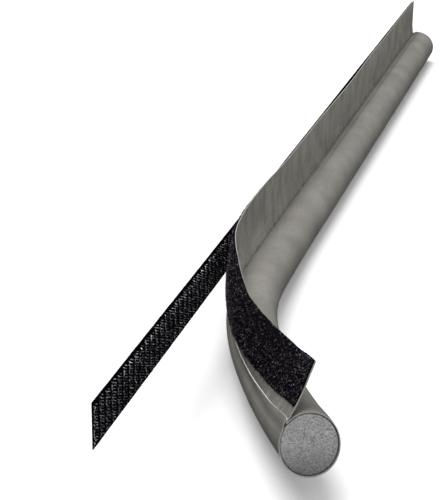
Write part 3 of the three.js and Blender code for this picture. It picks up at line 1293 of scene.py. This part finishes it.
def hook_template(sides, steps):
    """A pair of hooks that turn away from one another, like an open V upside down."""
    bm = bmesh.new()
    for way in (1, -1):
        add_hook(bm, sides, steps, way * HOOK_SPLAY, (0, way * HOOK_OFF_MIDDLE, 0))
    bmesh.ops.recalc_face_normals(bm, faces=bm.faces)
    return new_piece("two_hooks", bm, HOOKS)


def hook_bed(name, first, last):
    """Vertices where hooks stand in columns across the tape, with a little scatter."""
    draw = random.Random(41)
    height = TAPE_WIDTH - SELVAGE_TOP - SELVAGE_BOTTOM
    in_column = int(height / HOOK_PITCH_UP) + 1
    columns = int((last - first) / HOOK_PITCH_ALONG)
    bm = bmesh.new()
    bmesh.ops.create_grid(bm, x_segments=in_column - 1, y_segments=columns - 1, size=0.5)
    bm.verts.index_update()
    for vert in bm.verts:
        up = TAPE_LOW.z + SELVAGE_BOTTOM + height * (vert.co.x + 0.5)
        along = first + (last - first) * (vert.co.y + 0.5)
        up += HOOK_PITCH_UP / 2 * (vert.index // in_column % 2 - 0.5)
        jitter = Vector((0, draw.uniform(-0.3, 0.3), draw.uniform(-0.14, 0.14))) * MM
        vert.co = Vector((TAPE_LOW.x + HOOK_GROUND_THICKNESS, along, up)) + jitter
    return new_piece(name, bm, HOOKS)


def make_hooks(name, first, last, sides, steps, scale):
    """Hooks from first to last along the tape, each standing out from it with a little sway."""
    bed = hook_bed(name, first, last)
    upright = math.pi / 2 - HOOK_RISE
    low = (-HOOK_SWAY, upright - HOOK_SWAY, -HOOK_TWIST)
    high = (HOOK_SWAY, upright + HOOK_SWAY, HOOK_TWIST)
    strew(bed, hook_template(sides, steps), low, high, scale, HOOKS_SEED)
    return bed


hook_pieces = [hook_tape]
bare_from = NEAR_END + 2.5 * MM
bare_to = NEAR_END + HOOKS_REACH
gripped_from = bare_to + HOOK_PITCH_ALONG
gripped_to = FAR_END - 3 * MM
hook_pieces.append(make_hooks("hooks_bare", bare_from, bare_to, 6, 6, (0.9, 1.12)))
hook_pieces.append(make_hooks("hooks_gripped", gripped_from, gripped_to, 4, 3, (0.55, 0.7)))
print("hook tape", counts(hook_pieces))

# %% [markdown]
# ## Floor and light
# The excluder is shown on a plain white ground. The main light is a distant sun, almost straight
# above and wide enough for soft edges, which lays a broad satin band along the top of the roll. A
# weak and wider one fills from the other side, and a pale world without reflections lifts the
# shadows. A white floor would throw too much light back up, so there are two: the camera sees the
# white one, and the light falls back from a darker one under it.

# %% Stage
FLOOR_SIZE = 14
WORLD_STRENGTH = 0.76


def make_floor(name, grey, drop):
    """A flat floor of one grey, a little below the excluder."""
    made, tree, shader = new_material(name, 0.9, Specular_IOR_Level=0.1)
    shader.inputs["Base Color"].default_value = (grey, grey, grey, 1)
    bm = bmesh.new()
    bmesh.ops.create_grid(bm, x_segments=1, y_segments=1, size=FLOOR_SIZE)
    bmesh.ops.translate(bm, vec=(0, 0, FLOOR - drop), verts=bm.verts)
    floor = new_piece(name, bm, made)
    return floor


def sun(name, lean_left, lean_back, spread, strength):
    """A distant light, leaning from straight up by the angles given in degrees."""
    data = bpy.data.lights.new(name, "SUN")
    data.angle = math.radians(spread)
    data.energy = strength
    made = bpy.data.objects.new(name, data)
    bpy.context.scene.collection.objects.link(made)
    made.rotation_euler = (math.radians(-lean_back), math.radians(-lean_left), 0)


seen_floor = make_floor("studio_floor", 0.92, 0.2 * MM)
seen_floor.visible_diffuse = False
seen_floor.visible_glossy = False
seen_floor.visible_shadow = False
felt_floor = make_floor("studio_floor_under", 0.22, 0.5 * MM)
felt_floor.visible_camera = False
felt_floor.visible_glossy = False
sun("top_light", lean_left=8, lean_back=-6, spread=40, strength=2.15)
sun("fill_light", lean_left=-50, lean_back=-30, spread=90, strength=0.32)
world = bpy.data.worlds.new("studio")
bpy.context.scene.world = world
world.use_nodes = True
background = world.node_tree.nodes["Background"]
background.inputs["Color"].default_value = (1, 1, 1, 1)
background.inputs["Strength"].default_value = WORLD_STRENGTH
world.cycles_visibility.glossy = False
bpy.context.scene.view_settings.view_transform = "Standard"
print("stage at", round(FLOOR, 4))

# %% [markdown]
# ## What each piece is
# Last, every piece rides on the excluder's one body, and the frame's solids that they stand for are
# hidden.

for piece in [cover_cloth, foam_rod, *pieces_of_cloth, *pieces_of_loop, *hook_pieces]:
    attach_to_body(piece, ROOT)
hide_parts("cover")
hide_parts("foam_core")
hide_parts("loop_tape")
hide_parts("hook_tape")
